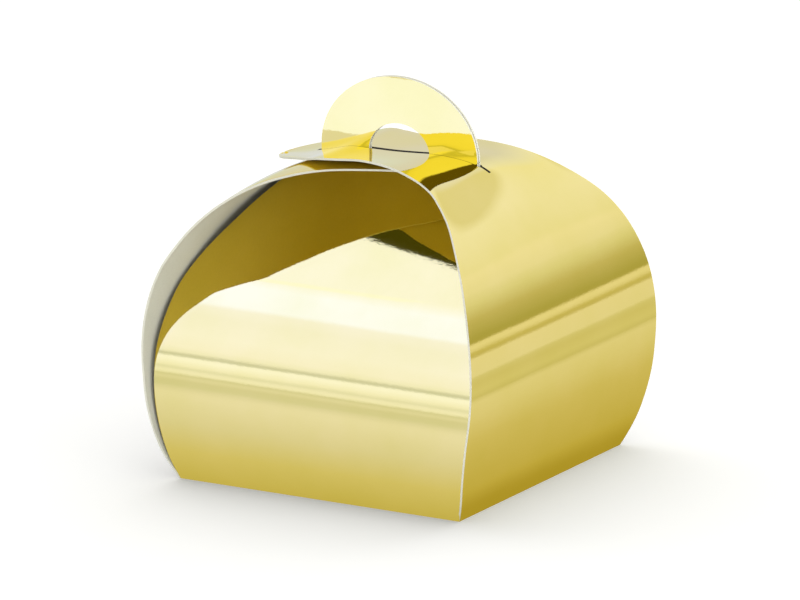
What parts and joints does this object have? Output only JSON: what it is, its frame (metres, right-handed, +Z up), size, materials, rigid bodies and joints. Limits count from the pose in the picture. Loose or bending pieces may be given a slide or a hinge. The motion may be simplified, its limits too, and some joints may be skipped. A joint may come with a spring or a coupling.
{
  "type": "favor box",
  "caption": "Small square favor box folded from gold metallised board: bulging petals that overlap on top and lock round a half-round carry handle",
  "frame": {"origin": "centre of the underside of the base panel, on the surface the box stands on", "axes": "+Z up; -Y towards the front petal, +X towards the outermost (right) petal; the handle lies in the XZ plane"},
  "size_m": [0.0704, 0.0696, 0.0739],
  "materials": {
    "gold_board": "mirror gold film on the outer faces, bare grey-white board on the inner faces and cut edges"
  },
  "bodies": {
    "base": {"base_panel": "gold_board"},
    "right_petal": {"right_wall": "gold_board"},
    "right_flap": {"right_tongue": "gold_board"},
    "left_petal": {"left_wall": "gold_board"},
    "left_flap": {"left_tongue": "gold_board"},
    "front_petal": {"front_wall": "gold_board"},
    "front_top": {"front_roof": "gold_board"},
    "front_grip": {"front_handle": "gold_board"},
    "back_petal": {"back_wall": "gold_board"},
    "back_top": {"back_roof": "gold_board"},
    "back_grip": {"back_handle": "gold_board"}
  },
  "joints": [
    {"name": "right_petal_fold", "type": "hinge", "parent": "base", "child": "right_petal", "pos_m": [0.03, 0, 0], "axis": [0, 1, 0], "range_deg": [0, 60]},
    {"name": "right_tongue_bend", "type": "hinge", "parent": "right_petal", "child": "right_flap", "pos_m": [0.02424, 0, 0.05317], "axis": [0, 1, 0], "range_deg": [0, 66], "deforming": ["right_tongue"]},
    {"name": "left_petal_fold", "type": "hinge", "parent": "base", "child": "left_petal", "pos_m": [-0.03, 0, 0], "axis": [0, -1, 0], "range_deg": [0, 60]},
    {"name": "left_tongue_bend", "type": "hinge", "parent": "left_petal", "child": "left_flap", "pos_m": [-0.02454, 0, 0.05276], "axis": [0, -1, 0], "range_deg": [0, 66], "deforming": ["left_tongue"]},
    {"name": "front_petal_fold", "type": "hinge", "parent": "base", "child": "front_petal", "pos_m": [0, -0.03, 0], "axis": [1, 0, 0], "range_deg": [0, 60]},
    {"name": "front_roof_bend", "type": "hinge", "parent": "front_petal", "child": "front_top", "pos_m": [0, -0.02223, 0.03836], "axis": [1, 0, 0], "range_deg": [0, 66]},
    {"name": "front_handle_fold", "type": "hinge", "parent": "front_top", "child": "front_grip", "pos_m": [0, -0.00055, 0.05619], "axis": [1, 0, 0], "range_deg": [0, 88]},
    {"name": "back_petal_fold", "type": "hinge", "parent": "base", "child": "back_petal", "pos_m": [0, 0.03, 0], "axis": [-1, 0, 0], "range_deg": [0, 60]},
    {"name": "back_roof_bend", "type": "hinge", "parent": "back_petal", "child": "back_top", "pos_m": [0, 0.02223, 0.03836], "axis": [-1, 0, 0], "range_deg": [0, 66]},
    {"name": "back_handle_fold", "type": "hinge", "parent": "back_top", "child": "back_grip", "pos_m": [0, 0.00055, 0.05619], "axis": [-1, 0, 0], "range_deg": [0, 88]}
  ],
  "couplings": [
    {"joint": "right_tongue_bend", "follows": "right_petal_fold", "ratio": 1},
    {"joint": "left_tongue_bend", "follows": "left_petal_fold", "ratio": 1},
    {"joint": "front_roof_bend", "follows": "front_petal_fold", "ratio": 1},
    {"joint": "back_roof_bend", "follows": "back_petal_fold", "ratio": 1}
  ]
}
